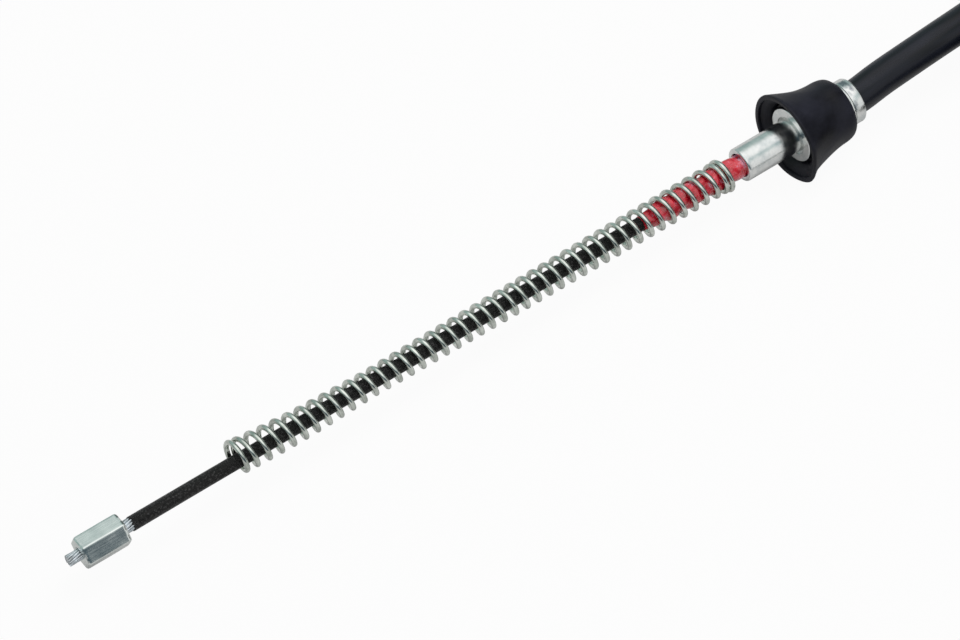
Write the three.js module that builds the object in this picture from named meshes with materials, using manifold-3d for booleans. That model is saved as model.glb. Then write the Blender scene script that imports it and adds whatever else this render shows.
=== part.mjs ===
// Parking brake cable: a coated wire core with a crimped hexagon stop slides in a ferrule
// with a rubber boot, a waisted return spring lies round the core, and the conduit runs on
// to a coil and to the cable's other end. Millimetres, +Z up, lying on the plane z = 0.
import * as THREE from 'three';
import { mergeVertices } from 'three/addons/utils/BufferGeometryUtils.js';
import Module from 'manifold-3d';

const wasm = await Module();
wasm.setup();

// Core: the laid strand and its plastic coat.
const strandRadius = 1.5;
const strandRodRadius = 1.24;
const strandWires = 12;
const strandLay = 41;
const strandCrest = 10;
const strandValley = 0.02;
const strandOverlap = 1;
const strandStub = 3.4;
const strandNeck = 2.0;
const rodSetback = 0.2;
const coatRadius = 1.9;
const coatGap = 0.15;
const coreTravel = 24;
const coreInBore = 8;

// Hexagon stop crimped on the strand.
const hexAcrossFlats = 7.8;
const hexLength = 12.8;
const hexChamfer = 0.4;
const hexTurn = 22;
const hexBoreGap = 0.2;

// Return spring, wound right-handed round the core.
const springWire = 1.25;
const springLength = 150.4;
const springTurns = 43.85;
const springStart = 30;
const springEndRadius = 4.05;
const springWaistRadius = 2.95;
const springMouthRadius = 3.87;
const springLastRadius = 4.2;
const springWaistShare = 0.27;
const springClosedLeft = 0.75;
const springClosedRight = 1.75;
const springTouchGap = 0.3;
const springLift = 1.1;
const springLiftAngle = 30;
const springLiftLength = 26;
const springMouthCurve = 0.7;
const springFlareLength = 3;
const springFlatLength = 1;
const stopToSpringAtRest = 8.2;
const springToMouth = 4.0;

// Ferrule of the near end, with the flange that seats on the brake's backing plate.
const boreRadius = 3.2;
const tubeRadius = 4.62;
const tubeLength = 16.8;
const mouthRound = 0.6;
const boreRound = 0.4;
const coveDepth = 0.8;
const coveRadius = 5.2;
const coveSlope = 0.15;
const flangeRadius = 7.7;
const flangeThickness = 1.8;
const flangeRound = 0.35;
const sleeveRadius = 5.7;
const bandRadius = 6.2;
const bandLength = 3.2;
const bandChamfer = 0.35;
const lipRadius = 6.1;
const lipLength = 0.55;
const grooveRadius = 5.85;
const grooveLength = 0.4;
const socketDepth = 4;

// Rubber boot round the flange.
const rimRadius = 12.25;
const rimThickness = 1.3;
const rimAhead = 1.9;
const rimRound = 0.3;
const bellRadius = 9.15;
const bellAt = 5.8;
const bootLength = 17.8;
const bootNeckRadius = 8.9;
const bootNeckAt = 13.3;
const bootEndRadius = 6.5;
const bootSeatRadius = 8.3;
const bootSeatFlare = 0.4;
const bootSeatLip = 0.2;
const bootGap = 0.2;

// Grease on the core.
const greaseLength = 34;
const greaseInMouth = 2.3;
const greaseRadius = 2.6;
const greaseLump = 0.22;
const greaseGap = 0.15;
const greaseThinnest = 0.1;

// Conduit, its coil and the ties.
const conduitRadius = 4.7;
const conduitGap = 0.2;
const fitGap = 0.3;
const leadStraight = 0.75;
const leadRoute = [[30, 0.5, 13.15], [40, 0.7, 14.15], [50, 0.75, 15.25], [63.3, 1.3, 15.6]];
const tieThickness = 0.8;
const tieWidth = 5;
const tieCorner = 1.6;
const tieHoleCorner = 1.4;
const tieAngles = [0, 215];
const coilTurnPitch = 9.7;
const coilInnerRadius = 39;
const coilLayerAngle = 587;
const coilLayerRise = 9.8;
const coilCorner = 2.6;
const coilCentre = new THREE.Vector2(101, -50.8);

// Far end: ferrule, core and nipple.
const farSleeveRadius = 5.8;
const farTubeRadius = 4.6;
const farSleeveLength = 17;
const farTubeLength = 17;
const farBoreRadius = 2.2;
const farChamfer = 0.4;
const farSleeveAt = 60;
const farCoreOut = 14;
const farCoreLeftIn = 4.5;
const nippleRadius = 4;
const nippleLength = 8;
const nippleStub = 0.6;

// Places along the cable, counted from the flange's front face towards the conduit.
const axisHeight = rimRadius;
const mouthAt = -tubeLength;
const springRightAt = mouthAt - springToMouth;
const springLeftAt = springRightAt - springLength;
const hexInnerAt = springLeftAt - stopToSpringAtRest - coreTravel;
const hexOuterAt = hexInnerAt - hexLength;
const tipAt = hexOuterAt - strandStub;
const coatStartAt = hexInnerAt + strandNeck;
const coreEndAt = mouthAt + coreInBore;
const bootEndAt = bootLength - rimAhead;
const lipAt = bootEndAt + bootGap;
const grooveAt = lipAt + lipLength;
const bandAt = grooveAt + grooveLength;
const collarEndAt = bandAt + bandLength;
const socketAt = collarEndAt - socketDepth;
const conduitHeight = farSleeveRadius;
const coilEndRadius = coilInnerRadius + coilTurnPitch * coilLayerAngle / 360;
const coilBottom = conduitHeight - conduitRadius;
const coilTop = conduitHeight + coilLayerRise + conduitRadius;
const coilOuterRadius = coilEndRadius + conduitRadius + fitGap;
const coilLowestRadius = coilInnerRadius - conduitRadius - fitGap;
const farLineY = coilCentre.y - coilEndRadius;
const farSleeveToTube = farSleeveLength + farTubeLength;
const farCoreFrom = farSleeveToTube - farCoreLeftIn - coreTravel;
const nippleAt = farSleeveToTube + farCoreOut;
const farCoatEnd = nippleAt - strandNeck;

// Colours seen on the real cable.
const zinc = { color: 0xc9ccc8, roughness: 0.32, metalness: 1 };
const paleSteel = { color: 0xb8bfbd, roughness: 0.38, metalness: 1 };
const springSteel = { color: 0xa9aeb0, roughness: 0.3, metalness: 1 };
const strandSteel = { color: 0xaab3b5, roughness: 0.3, metalness: 1 };
const blackCoat = { color: 0x1b1c1e, roughness: 0.55, metalness: 0 };
const blackRubber = { color: 0x232427, roughness: 0.7, metalness: 0 };
const blackConduit = { color: 0x1e1f23, roughness: 0.45, metalness: 0 };
const redGrease = { color: 0xb02a35, roughness: 0.25, metalness: 0 };
const tieBlack = { color: 0x17181a, roughness: 0.6, metalness: 0 };

const cable = new THREE.Group();

function addPiece(name, geometry, look, x = 0, y = 0, z = 0) {
  const mesh = new THREE.Mesh(geometry, new THREE.MeshStandardMaterial(look));
  mesh.name = name;
  mesh.position.set(x, y, z);
  cable.add(mesh);
  return mesh;
}

// Points of a round edge in a turned profile, from one angle to another, in degrees.
function roundEdge(radius, centreR, centreX, from, to, steps) {
  const points = [];
  for (let i = 0; i <= steps; i += 1) {
    const angle = THREE.MathUtils.degToRad(from + (to - from) * i / steps);
    points.push([centreR + radius * Math.cos(angle), centreX + radius * Math.sin(angle)]);
  }
  return points;
}

// A solid of revolution about X from a closed outline of [radius, x] points.
function turned(outline, segments) {
  const profile = outline.map(([radius, x]) => new THREE.Vector2(radius, x));
  profile.push(profile[0].clone());
  const geometry = new THREE.LatheGeometry(profile, segments);
  geometry.rotateZ(-Math.PI / 2);
  return geometry;
}

// A prism along +X from an outline drawn in the plane across it.
function prismAlongX(shape, depth, options = {}) {
  const geometry = new THREE.ExtrudeGeometry(shape, { depth, bevelEnabled: false, ...options });
  geometry.rotateY(Math.PI / 2);
  return geometry;
}

// A round tube along a path, closed at both ends.
function tubeAlong(path, radius, sides, steps) {
  const ring = new THREE.Shape();
  for (let i = 0; i < sides; i += 1) {
    const angle = 2 * Math.PI * i / sides;
    const point = [radius * Math.cos(angle), radius * Math.sin(angle)];
    if (i === 0) ring.moveTo(...point);
    else ring.lineTo(...point);
  }
  ring.closePath();
  path.arcLengthDivisions = steps * 4;
  return new THREE.ExtrudeGeometry(ring, { steps, extrudePath: path, bevelEnabled: false });
}

function toSolid(geometry) {
  const bare = geometry.clone();
  bare.deleteAttribute('normal');
  bare.deleteAttribute('uv');
  const merged = mergeVertices(bare, 1e-4);
  const vertProperties = new Float32Array(merged.attributes.position.array);
  const triVerts = new Uint32Array(merged.index.array);
  return new wasm.Manifold(new wasm.Mesh({ numProp: 3, vertProperties, triVerts }));
}

function fromSolid(solid) {
  const mesh = solid.getMesh();
  const geometry = new THREE.BufferGeometry();
  geometry.setAttribute('position', new THREE.BufferAttribute(mesh.vertProperties, 3));
  geometry.setIndex(new THREE.BufferAttribute(mesh.triVerts, 1));
  geometry.computeVertexNormals();
  return geometry;
}

// A stretch of the laid strand: one lobe for each outer wire, turned left-handed along X.
function laidStretch(from, length) {
  const outline = new THREE.Shape();
  const lobes = [[-180 / strandWires, strandRodRadius + strandValley],
    [-strandCrest / 2, strandRadius], [strandCrest / 2, strandRadius]];
  for (let wire = 0; wire < strandWires; wire += 1) {
    lobes.forEach(([degrees, radius], i) => {
      const angle = THREE.MathUtils.degToRad(wire * 360 / strandWires + degrees);
      const point = [radius * Math.cos(angle), radius * Math.sin(angle)];
      if (wire === 0 && i === 0) outline.moveTo(...point);
      else outline.lineTo(...point);
    });
  }
  outline.closePath();
  const steps = Math.max(2, Math.round(length));
  const geometry = prismAlongX(outline, length, { steps });
  const position = geometry.attributes.position;
  const point = new THREE.Vector3();
  const axis = new THREE.Vector3(1, 0, 0);
  for (let i = 0; i < position.count; i += 1) {
    point.fromBufferAttribute(position, i);
    point.applyAxisAngle(axis, -2 * Math.PI * (point.x + from) / strandLay);
    position.setXYZ(i, point.x + from, point.y, point.z);
  }
  return geometry;
}

// The strand shows its laid wires where it is bare, and is a plain rod where it is covered.
function coreStrand() {
  const rodStart = tipAt + rodSetback;
  const rod = toSolid(turned([[0, rodStart], [strandRodRadius, rodStart],
    [strandRodRadius, coreEndAt], [0, coreEndAt]], 24));
  const stub = toSolid(laidStretch(tipAt, strandStub + strandOverlap));
  const neck = toSolid(laidStretch(hexInnerAt - strandOverlap, strandNeck + 2 * strandOverlap));
  return fromSolid(rod.add(stub).add(neck));
}

function coatTube(from, to) {
  const inner = strandRadius + coatGap;
  return turned([[inner, to], [inner, from], [coatRadius, from], [coatRadius, to]], 20);
}

function hexStop() {
  const outline = new THREE.Shape();
  const corner = (hexAcrossFlats / 2) / Math.cos(Math.PI / 6);
  for (let i = 0; i < 6; i += 1) {
    const angle = THREE.MathUtils.degToRad(60 * i + hexTurn);
    const point = [corner * Math.cos(angle), corner * Math.sin(angle)];
    if (i === 0) outline.moveTo(...point);
    else outline.lineTo(...point);
  }
  outline.closePath();
  const bore = new THREE.Path();
  bore.absarc(0, 0, strandRadius + hexBoreGap, 0, 2 * Math.PI, true);
  outline.holes.push(bore);
  const geometry = prismAlongX(outline, hexLength - 2 * hexChamfer, {
    bevelEnabled: true,
    bevelThickness: hexChamfer,
    bevelSize: hexChamfer,
    bevelOffset: -hexChamfer,
    bevelSegments: 1,
    curveSegments: 10,
  });
  geometry.translate(hexOuterAt + hexChamfer, 0, 0);
  return geometry;
}

// Radius of the spring's wire line at a place along it: a waist with wider ends.
function springRadius(x) {
  const waistAt = springLeftAt + springWaistShare * springLength;
  if (x < waistAt) {
    const share = (waistAt - x) / (waistAt - springLeftAt);
    return springWaistRadius + (springEndRadius - springWaistRadius) * share;
  }
  const share = (x - waistAt) / (springRightAt - waistAt);
  const flareAt = springRightAt - springFlareLength;
  const flare = THREE.MathUtils.smoothstep(x, flareAt, springRightAt - springFlatLength);
  return springWaistRadius + (springMouthRadius - springWaistRadius) * share ** springMouthCurve
    + (springLastRadius - springMouthRadius) * flare;
}

class SpringPath extends THREE.Curve {
  getPoint(t, target = new THREE.Vector3()) {
    const turn = t * springTurns;
    const closedPitch = springWire + springTouchGap;
    const openTurns = springTurns - springClosedLeft - springClosedRight;
    const openRise = springLength - springWire - closedPitch * springTurns;
    const open = THREE.MathUtils.clamp((turn - springClosedLeft) / openTurns, 0, 1);
    const along = closedPitch * turn + openRise * open;
    const x = springLeftAt + springWire / 2 + along;
    const radius = springRadius(x);
    const angle = THREE.MathUtils.degToRad(springStart) + 2 * Math.PI * turn;
    const lift = springLift * Math.max(0, 1 - along / springLiftLength) ** 2;
    const liftAngle = THREE.MathUtils.degToRad(springLiftAngle);
    const y = radius * Math.cos(angle) + lift * Math.cos(liftAngle);
    const z = radius * Math.sin(angle) + lift * Math.sin(liftAngle);
    return target.set(x, y, z);
  }
}

// Lumpy skin of grease from inside the spring to just inside the ferrule's mouth.
function greaseSkin() {
  const to = mouthAt + greaseInMouth;
  const from = to - greaseLength;
  const inner = coatRadius + greaseGap;
  const thin = inner + greaseThinnest;
  const steps = 16;
  const outline = [[inner, to], [inner, from]];
  for (let i = 0; i <= steps; i += 1) {
    const share = i / steps;
    const ends = Math.min(1, share * 5, (1 - share) * 6 + 0.3);
    const lump = greaseLump * Math.sin(9 * share + 17 * share * share);
    outline.push([thin + (greaseRadius - thin + lump) * ends, from + greaseLength * share]);
  }
  return turned(outline, 16);
}

function endFerrule() {
  const wallOuter = tubeRadius - mouthRound;
  const cove = coveRadius - tubeRadius;
  const outline = [
    ...roundEdge(boreRound, boreRadius + boreRound, mouthAt + boreRound, 180, 270, 2),
    ...roundEdge(mouthRound, wallOuter, mouthAt + mouthRound, -90, 0, 3),
    [tubeRadius, coveDepth - 2 * cove],
    [tubeRadius + 0.3 * cove, coveDepth - 0.7 * cove],
    [coveRadius, coveDepth],
    [coveRadius + coveSlope, 0],
    ...roundEdge(flangeRound, flangeRadius - flangeRound, flangeRound, -90, 0, 2),
    ...roundEdge(flangeRound, flangeRadius - flangeRound, flangeThickness - flangeRound, 0, 90, 2),
    [sleeveRadius, flangeThickness],
    [sleeveRadius, lipAt],
    [lipRadius, lipAt],
    [lipRadius, grooveAt],
    [grooveRadius, grooveAt],
    [grooveRadius, bandAt],
    [bandRadius, bandAt],
    [bandRadius, collarEndAt - bandChamfer],
    [bandRadius - bandChamfer, collarEndAt],
    [conduitRadius + conduitGap, collarEndAt],
    [conduitRadius + conduitGap, socketAt],
    [boreRadius, socketAt],
  ];
  return turned(outline, 32);
}

function rubberBoot() {
  const outside = new THREE.Path();
  outside.moveTo(rimRadius, rimRound - rimAhead);
  outside.quadraticCurveTo(bellRadius, bellAt, bootNeckRadius, bootNeckAt - rimAhead);
  outside.quadraticCurveTo(bootNeckRadius, bootEndAt, bootEndRadius, bootEndAt);
  const outer = outside.getPoints(6).map((p) => [p.x, p.y]);
  const seatRadius = sleeveRadius + bootGap;
  const webAt = flangeThickness + fitGap;
  const outline = [
    [rimRadius - rimThickness, -rimAhead],
    [rimRadius - rimRound, -rimAhead],
    ...outer,
    [seatRadius, bootEndAt],
    [seatRadius, webAt],
    [bootSeatRadius, webAt],
    [bootSeatRadius + bootSeatFlare, bootSeatLip],
  ];
  return turned(outline, 36);
}

// Route of the conduit from the ferrule's socket up onto the coil, chosen by hand.
function conduitLead() {
  const straight = [[socketAt + conduitGap, 0, axisHeight], [collarEndAt + leadStraight, 0, axisHeight]];
  const points = [...straight, ...leadRoute].map((p) => new THREE.Vector3(...p));
  return tubeAlong(new THREE.CatmullRomCurve3(points), conduitRadius, 12, 12);
}

function conduitTail() {
  const inside = coilEndRadius - conduitRadius;
  const clearOfCoil = Math.sqrt(coilOuterRadius ** 2 - inside ** 2) + fitGap;
  const start = new THREE.Vector3(coilCentre.x - clearOfCoil, farLineY, conduitHeight);
  const end = new THREE.Vector3(farSleeveAt - socketDepth + fitGap, farLineY, conduitHeight);
  return tubeAlong(new THREE.LineCurve3(start, end), conduitRadius, 12, 1);
}

// The outer form of the coiled turns, which lie in two layers.
function conduitCoil() {
  const bottom = coilBottom;
  const top = coilTop;
  const profile = [
    [coilLowestRadius + coilCorner, bottom],
    [coilOuterRadius - coilCorner, bottom],
    [coilOuterRadius, bottom + coilCorner],
    [coilOuterRadius, top - coilCorner],
    [coilOuterRadius - coilCorner, top],
    [coilLowestRadius + coilCorner, top],
    [coilLowestRadius, top - coilCorner],
    [coilLowestRadius, bottom + coilCorner],
    [coilLowestRadius + coilCorner, bottom],
  ].map(([radius, height]) => new THREE.Vector2(radius, height));
  const geometry = new THREE.LatheGeometry(profile, 32);
  geometry.rotateX(Math.PI / 2);
  return geometry;
}

// A strap round the coil's turns, standing across them.
function coilTie() {
  const inner = { left: coilLowestRadius - fitGap, right: coilOuterRadius + fitGap };
  const top = coilTop + fitGap + tieThickness;
  const box = (left, right, low, high, cut) => [
    [left + cut, low], [right - cut, low], [right, low + cut], [right, high - cut],
    [right - cut, high], [left + cut, high], [left, high - cut], [left, low + cut],
  ].map((p) => new THREE.Vector2(...p));
  const outer = box(inner.left - tieThickness, inner.right + tieThickness, 0, top, tieCorner);
  const strap = new THREE.Shape(outer);
  const hole = box(inner.left, inner.right, tieThickness, top - tieThickness, tieHoleCorner);
  strap.holes.push(new THREE.Path(hole.reverse()));
  const geometry = new THREE.ExtrudeGeometry(strap, { depth: tieWidth, bevelEnabled: false });
  geometry.translate(0, 0, -tieWidth / 2);
  geometry.rotateX(Math.PI / 2);
  return geometry;
}

// The far pieces point towards -X, so each is turned round after it is made.
function farFerrule() {
  const length = farSleeveToTube;
  const socket = conduitRadius + conduitGap;
  const outline = [
    [farSleeveRadius - farChamfer, 0],
    [farSleeveRadius, farChamfer],
    [farSleeveRadius, farSleeveLength - farChamfer],
    [farSleeveRadius - farChamfer, farSleeveLength],
    [farTubeRadius, farSleeveLength],
    [farTubeRadius, length - farChamfer],
    [farTubeRadius - farChamfer, length],
    [farBoreRadius + farChamfer, length],
    [farBoreRadius, length - farChamfer],
    [farBoreRadius, socketDepth],
    [socket, socketDepth],
    [socket, 0],
  ];
  const geometry = turned(outline, 24);
  geometry.rotateZ(Math.PI);
  return geometry;
}

function farCoat() {
  const geometry = coatTube(farCoreFrom, farCoatEnd);
  geometry.rotateZ(Math.PI);
  return geometry;
}

function farStrand() {
  const from = farCoreFrom;
  const to = nippleAt + nippleLength + nippleStub;
  const geometry = turned([[0, from], [strandRodRadius, from], [strandRodRadius, to], [0, to]], 16);
  geometry.rotateZ(Math.PI);
  return geometry;
}

function farNipple() {
  const to = nippleAt + nippleLength;
  const bore = strandRadius + coatGap;
  const outline = [
    [bore, nippleAt],
    [nippleRadius - farChamfer, nippleAt],
    [nippleRadius, nippleAt + farChamfer],
    [nippleRadius, to - farChamfer],
    [nippleRadius - farChamfer, to],
    [bore, to],
  ];
  const geometry = turned(outline, 20);
  geometry.rotateZ(Math.PI);
  return geometry;
}

addPiece('core_strand', coreStrand(), strandSteel, 0, 0, axisHeight);
addPiece('core_coating', coatTube(coatStartAt, coreEndAt), blackCoat, 0, 0, axisHeight);
addPiece('hex_end_stop', hexStop(), paleSteel, 0, 0, axisHeight);
addPiece('core_grease', greaseSkin(), redGrease, 0, 0, axisHeight);
const springSteps = Math.round(springTurns * 9);
const springTube = tubeAlong(new SpringPath(), springWire / 2, 6, springSteps);
addPiece('return_spring', springTube, springSteel, 0, 0, axisHeight);
addPiece('end_ferrule', endFerrule(), zinc, 0, 0, axisHeight);
addPiece('rubber_boot', rubberBoot(), blackRubber, 0, 0, axisHeight);
addPiece('conduit_lead', conduitLead(), blackConduit);
addPiece('conduit_coil', conduitCoil(), blackConduit, coilCentre.x, coilCentre.y, 0);
addPiece('conduit_tail', conduitTail(), blackConduit);
tieAngles.forEach((degrees, i) => {
  const tie = addPiece(`coil_tie_${i + 1}`, coilTie(), tieBlack, coilCentre.x, coilCentre.y, 0);
  tie.rotation.z = THREE.MathUtils.degToRad(degrees);
});
addPiece('far_ferrule', farFerrule(), zinc, farSleeveAt, farLineY, conduitHeight);
addPiece('far_core_coating', farCoat(), blackCoat, farSleeveAt, farLineY, conduitHeight);
addPiece('far_core_strand', farStrand(), strandSteel, farSleeveAt, farLineY, conduitHeight);
addPiece('far_end_nipple', farNipple(), paleSteel, farSleeveAt, farLineY, conduitHeight);

// The origin is on the plane below the middle of the near end, between its tip and its collar.
cable.position.x = -(tipAt + collarEndAt) / 2;

export default cable;
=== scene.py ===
import math

import bpy
import numpy as np
from mathutils import Matrix, Vector


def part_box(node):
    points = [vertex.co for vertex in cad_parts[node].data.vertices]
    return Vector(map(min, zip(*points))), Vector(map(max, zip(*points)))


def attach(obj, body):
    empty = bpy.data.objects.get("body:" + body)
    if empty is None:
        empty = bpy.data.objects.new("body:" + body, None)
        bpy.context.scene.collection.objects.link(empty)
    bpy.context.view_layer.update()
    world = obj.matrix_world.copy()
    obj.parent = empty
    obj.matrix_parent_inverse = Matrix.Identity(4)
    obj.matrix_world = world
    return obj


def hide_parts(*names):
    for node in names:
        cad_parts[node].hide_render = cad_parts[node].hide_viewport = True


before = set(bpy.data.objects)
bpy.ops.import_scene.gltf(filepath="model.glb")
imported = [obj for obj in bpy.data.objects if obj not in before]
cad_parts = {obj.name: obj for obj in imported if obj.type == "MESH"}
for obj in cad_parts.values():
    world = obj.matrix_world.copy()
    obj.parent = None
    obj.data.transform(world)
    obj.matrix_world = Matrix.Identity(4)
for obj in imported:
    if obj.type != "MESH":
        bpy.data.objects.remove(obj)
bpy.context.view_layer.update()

# Parking brake cable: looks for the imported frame. Metres, +X along the near end, +Z up.
mm = 0.001

# Places along the near end are counted from the flange's front face, across it from the axis.
ferruleLow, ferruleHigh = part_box("end_ferrule")
axisHeight = (ferruleLow.z + ferruleHigh.z) / 2
flangeAt = ferruleLow.x + 16.8 * mm
mouthAt = -16.8 * mm
collarEndAt = 20.25 * mm


# Camera

cameraView = {
    "azimuth": 36.0,         # degrees between the image's right and +X
    "elevation": 54.2,       # degrees above the surface
    "distance": 0.9158,      # to the cable's axis
    "aimAlong": -98.73 * mm, # the aimed point's place along the axis
    "aimBelow": 0.35 * mm,   # and how far below the axis, square to the cable in the image
    "imageWidth": 960,
    "focalPixels": 3700,
}


# Stands back from the aimed point against the viewing direction, without any roll.
def makeCamera(look):
    turn = math.radians(look["azimuth"])
    tilt = math.radians(look["elevation"])
    right = Vector((math.cos(turn), -math.sin(turn), 0))
    forward = Vector((math.sin(turn) * math.cos(tilt), math.cos(turn) * math.cos(tilt), -math.sin(tilt)))
    up = right.cross(forward)
    cable = Vector((right.x, up.x)).normalized()  # the cable's direction in the image
    below = (right * cable.y - up * cable.x) * look["aimBelow"]
    aim = Vector((flangeAt + look["aimAlong"], 0, axisHeight)) + below
    camera = bpy.data.cameras.new("camera")
    camera.sensor_fit = "HORIZONTAL"
    camera.sensor_width = 36
    camera.lens = camera.sensor_width * look["focalPixels"] / look["imageWidth"]
    camera.clip_start = 0.01
    camera.clip_end = 50
    holder = bpy.data.objects.new("camera", camera)
    bpy.context.scene.collection.objects.link(holder)
    axes = Matrix((right, up, -forward)).transposed().to_4x4()
    holder.matrix_world = Matrix.Translation(aim - forward * look["distance"]) @ axes
    bpy.context.scene.camera = holder


makeCamera(cameraView)
print("camera set")


# Surfaces worked out on grids

def unit(vectors):
    return vectors / np.linalg.norm(vectors, axis=-1, keepdims=True)


# Quads between neighbouring points of a grid numbered row by row.
def gridFaces(rows, columns, closedRows=False, closedColumns=True):
    i = np.arange(rows if closedRows else rows - 1)
    j = np.arange(columns if closedColumns else columns - 1)
    a, b = (part.ravel() for part in np.meshgrid(i, j, indexing="ij"))
    nextA, nextB = (a + 1) % rows, (b + 1) % columns
    return np.stack([a * columns + b, a * columns + nextB, nextA * columns + nextB, nextA * columns + b], -1)


# One object from a list of (points, faces) parts, given in the frame's coordinates.
def makePiece(name, grids, material, body, replaced=(), sharpAngle=35, wrap=None):
    points, faces, first = [], [], 0
    for part, partFaces in grids:
        points.append(part.reshape(-1, 3))
        faces.extend([[first + corner for corner in face] for face in partFaces])
        first += len(points[-1])
    points = np.concatenate(points)
    mesh = bpy.data.meshes.new(name)
    mesh.from_pydata(points.tolist(), [], faces)
    mesh.shade_smooth()
    mesh.set_sharp_from_angle(angle=math.radians(sharpAngle))
    if wrap is not None:
        attribute = mesh.attributes.new("wrap", "FLOAT_VECTOR", "POINT")
        attribute.data.foreach_set("vector", wrap.astype(np.float32).ravel())
    mesh.materials.append(material)
    piece = bpy.data.objects.new(name, mesh)
    bpy.context.scene.collection.objects.link(piece)
    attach(piece, body)
    if replaced:
        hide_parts(*replaced)
    return piece


# Faces of a tube of rings with a flat cap on each end.
def capped(rings):
    rows, columns = rings.shape[:2]
    last = (rows - 1) * columns
    caps = [list(range(columns))[::-1], list(range(last, last + columns))]
    return rings, gridFaces(rows, columns).tolist() + caps


# Faces of rings whose last row joins the first, such as a lathe with a closed outline.
def closedTube(rings):
    return rings, gridFaces(*rings.shape[:2], closedRows=True).tolist()


# Carries a profile of (a, b) offsets along a path: point + a * sideA + b * (tangent x sideA).
def sweep(path, sideA, profile):
    tangent = unit(np.gradient(path, axis=0))
    sideA = unit(sideA - tangent * np.sum(sideA * tangent, -1, keepdims=True))
    sideB = np.cross(tangent, sideA)
    a, b = profile[..., 0, None], profile[..., 1, None]
    return path[:, None] + a * sideA[:, None] + b * sideB[:, None]


# Distance along a line to each of its points.
def placesAlong(line):
    return np.concatenate([[0], np.cumsum(np.linalg.norm(np.diff(line, axis=0), axis=1))])


# For each point of a tube: its place in the ring and along the tube.
def aroundAndAlong(ring, length):
    return np.concatenate([np.broadcast_to(ring, (len(length), *ring.shape)),
                           np.broadcast_to(length[:, None, None], (len(length), len(ring), 1))], -1)


def circle(radius, sides):
    turn = 2 * np.pi * np.arange(sides) / sides
    return radius * np.stack([np.cos(turn), np.sin(turn)], -1)


# Turns an outline of [radius, x] about the near end's axis. wobble(turn, x) adds to the radius.
def turned(outline, segments, wobble=None):
    outline = np.asarray(outline, float)
    turn = 2 * np.pi * np.arange(segments) / segments
    radius = outline[:, 0, None] + np.zeros(segments)
    along = outline[:, 1, None] + np.zeros(segments)
    if wobble is not None:
        radius = radius + wobble(turn, along)
    return onAxis(radius, turn, along)


# Points of a grid of radius and place along, round the near end's axis.
def onAxis(radius, turn, along):
    radius, along, turn = np.broadcast_arrays(radius, along, turn)
    return np.stack([flangeAt + along, radius * np.cos(turn), axisHeight + radius * np.sin(turn)], -1)


# Points of a round stretch of an outline, centre + radius * (cos, sin) from start to stop degrees.
def arc(centreR, centreX, radius, start, stop, steps):
    turn = np.radians(np.linspace(start, stop, steps + 1))
    return np.stack([centreR + radius * np.cos(turn), centreX + radius * np.sin(turn)], -1).tolist()


# Points of a quadratic curve between two ends, pulled towards a control point.
def bend(start, control, end, steps):
    t = np.linspace(0, 1, steps + 1)[:, None]
    start, control, end = (np.asarray(p, float) for p in (start, control, end))
    return ((1 - t) ** 2 * start + 2 * t * (1 - t) * control + t ** 2 * end).tolist()


# A smooth random unevenness, closed round the turn: a sum of waves with seeded phases.
def ripples(seed, count, turnsMost, waveLength):
    dice = np.random.default_rng(seed)
    around = dice.integers(0, turnsMost + 1, count)
    along = 2 * np.pi * dice.uniform(-1, 1, count) / waveLength
    phase = dice.uniform(0, 2 * np.pi, count)
    weight = dice.uniform(0.4, 1, count)
    weight /= np.sqrt(np.sum(weight ** 2) / 2)

    def height(turn, x):
        waves = weight[:, None, None] * np.cos(around[:, None, None] * turn + along[:, None, None] * x
                                               + phase[:, None, None])
        return waves.sum(0)

    return height


# A smooth curve through points: each stretch is a cubic whose end slopes follow the neighbours.
def smoothLine(points, spacing):
    points = np.asarray(points, float)
    place = placesAlong(points)
    gaps = np.diff(place)
    slopes = np.gradient(points, place, axis=0, edge_order=2)
    wanted = np.linspace(0, place[-1], int(place[-1] / spacing) + 1)
    k = np.clip(np.searchsorted(place, wanted, side="right") - 1, 0, len(gaps) - 1)
    t = ((wanted - place[k]) / gaps[k])[:, None]
    h = gaps[k][:, None]
    return ((2 * t ** 3 - 3 * t ** 2 + 1) * points[k] + (t ** 3 - 2 * t ** 2 + t) * h * slopes[k]
            + (3 * t ** 2 - 2 * t ** 3) * points[k + 1] + (t ** 3 - t ** 2) * h * slopes[k + 1])


# Materials

# A Principled material whose same-all-over values are set on its own sockets.
def newMaterial(name, **sockets):
    material = bpy.data.materials.new(name)
    material.use_nodes = True
    shader = material.node_tree.nodes["Principled BSDF"]
    for socket, value in sockets.items():
        shader.inputs[socket.replace("_", " ")].default_value = value
    return material, material.node_tree, shader


def addNode(tree, kind, inputs=None, **settings):
    node = tree.nodes.new(kind)
    for name, value in settings.items():
        setattr(node, name, value)
    for name, value in (inputs or {}).items():
        if isinstance(value, bpy.types.NodeSocket):
            tree.links.new(value, node.inputs[name])
        else:
            node.inputs[name].default_value = value
    return node


# Object coordinates, or the piece's own attribute, with each axis scaled.
def surfaceCoords(tree, stretch, attribute=None):
    if attribute:
        source = addNode(tree, "ShaderNodeAttribute", attribute_name=attribute).outputs["Vector"]
    else:
        source = addNode(tree, "ShaderNodeTexCoord").outputs["Object"]
    return addNode(tree, "ShaderNodeMapping", {"Vector": source, "Scale": stretch}).outputs["Vector"]


def noise(tree, coords, scale, detail=4.0, roughness=0.55):
    inputs = {"Vector": coords, "Scale": scale, "Detail": detail, "Roughness": roughness}
    return addNode(tree, "ShaderNodeTexNoise", inputs).outputs["Fac"]


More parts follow.
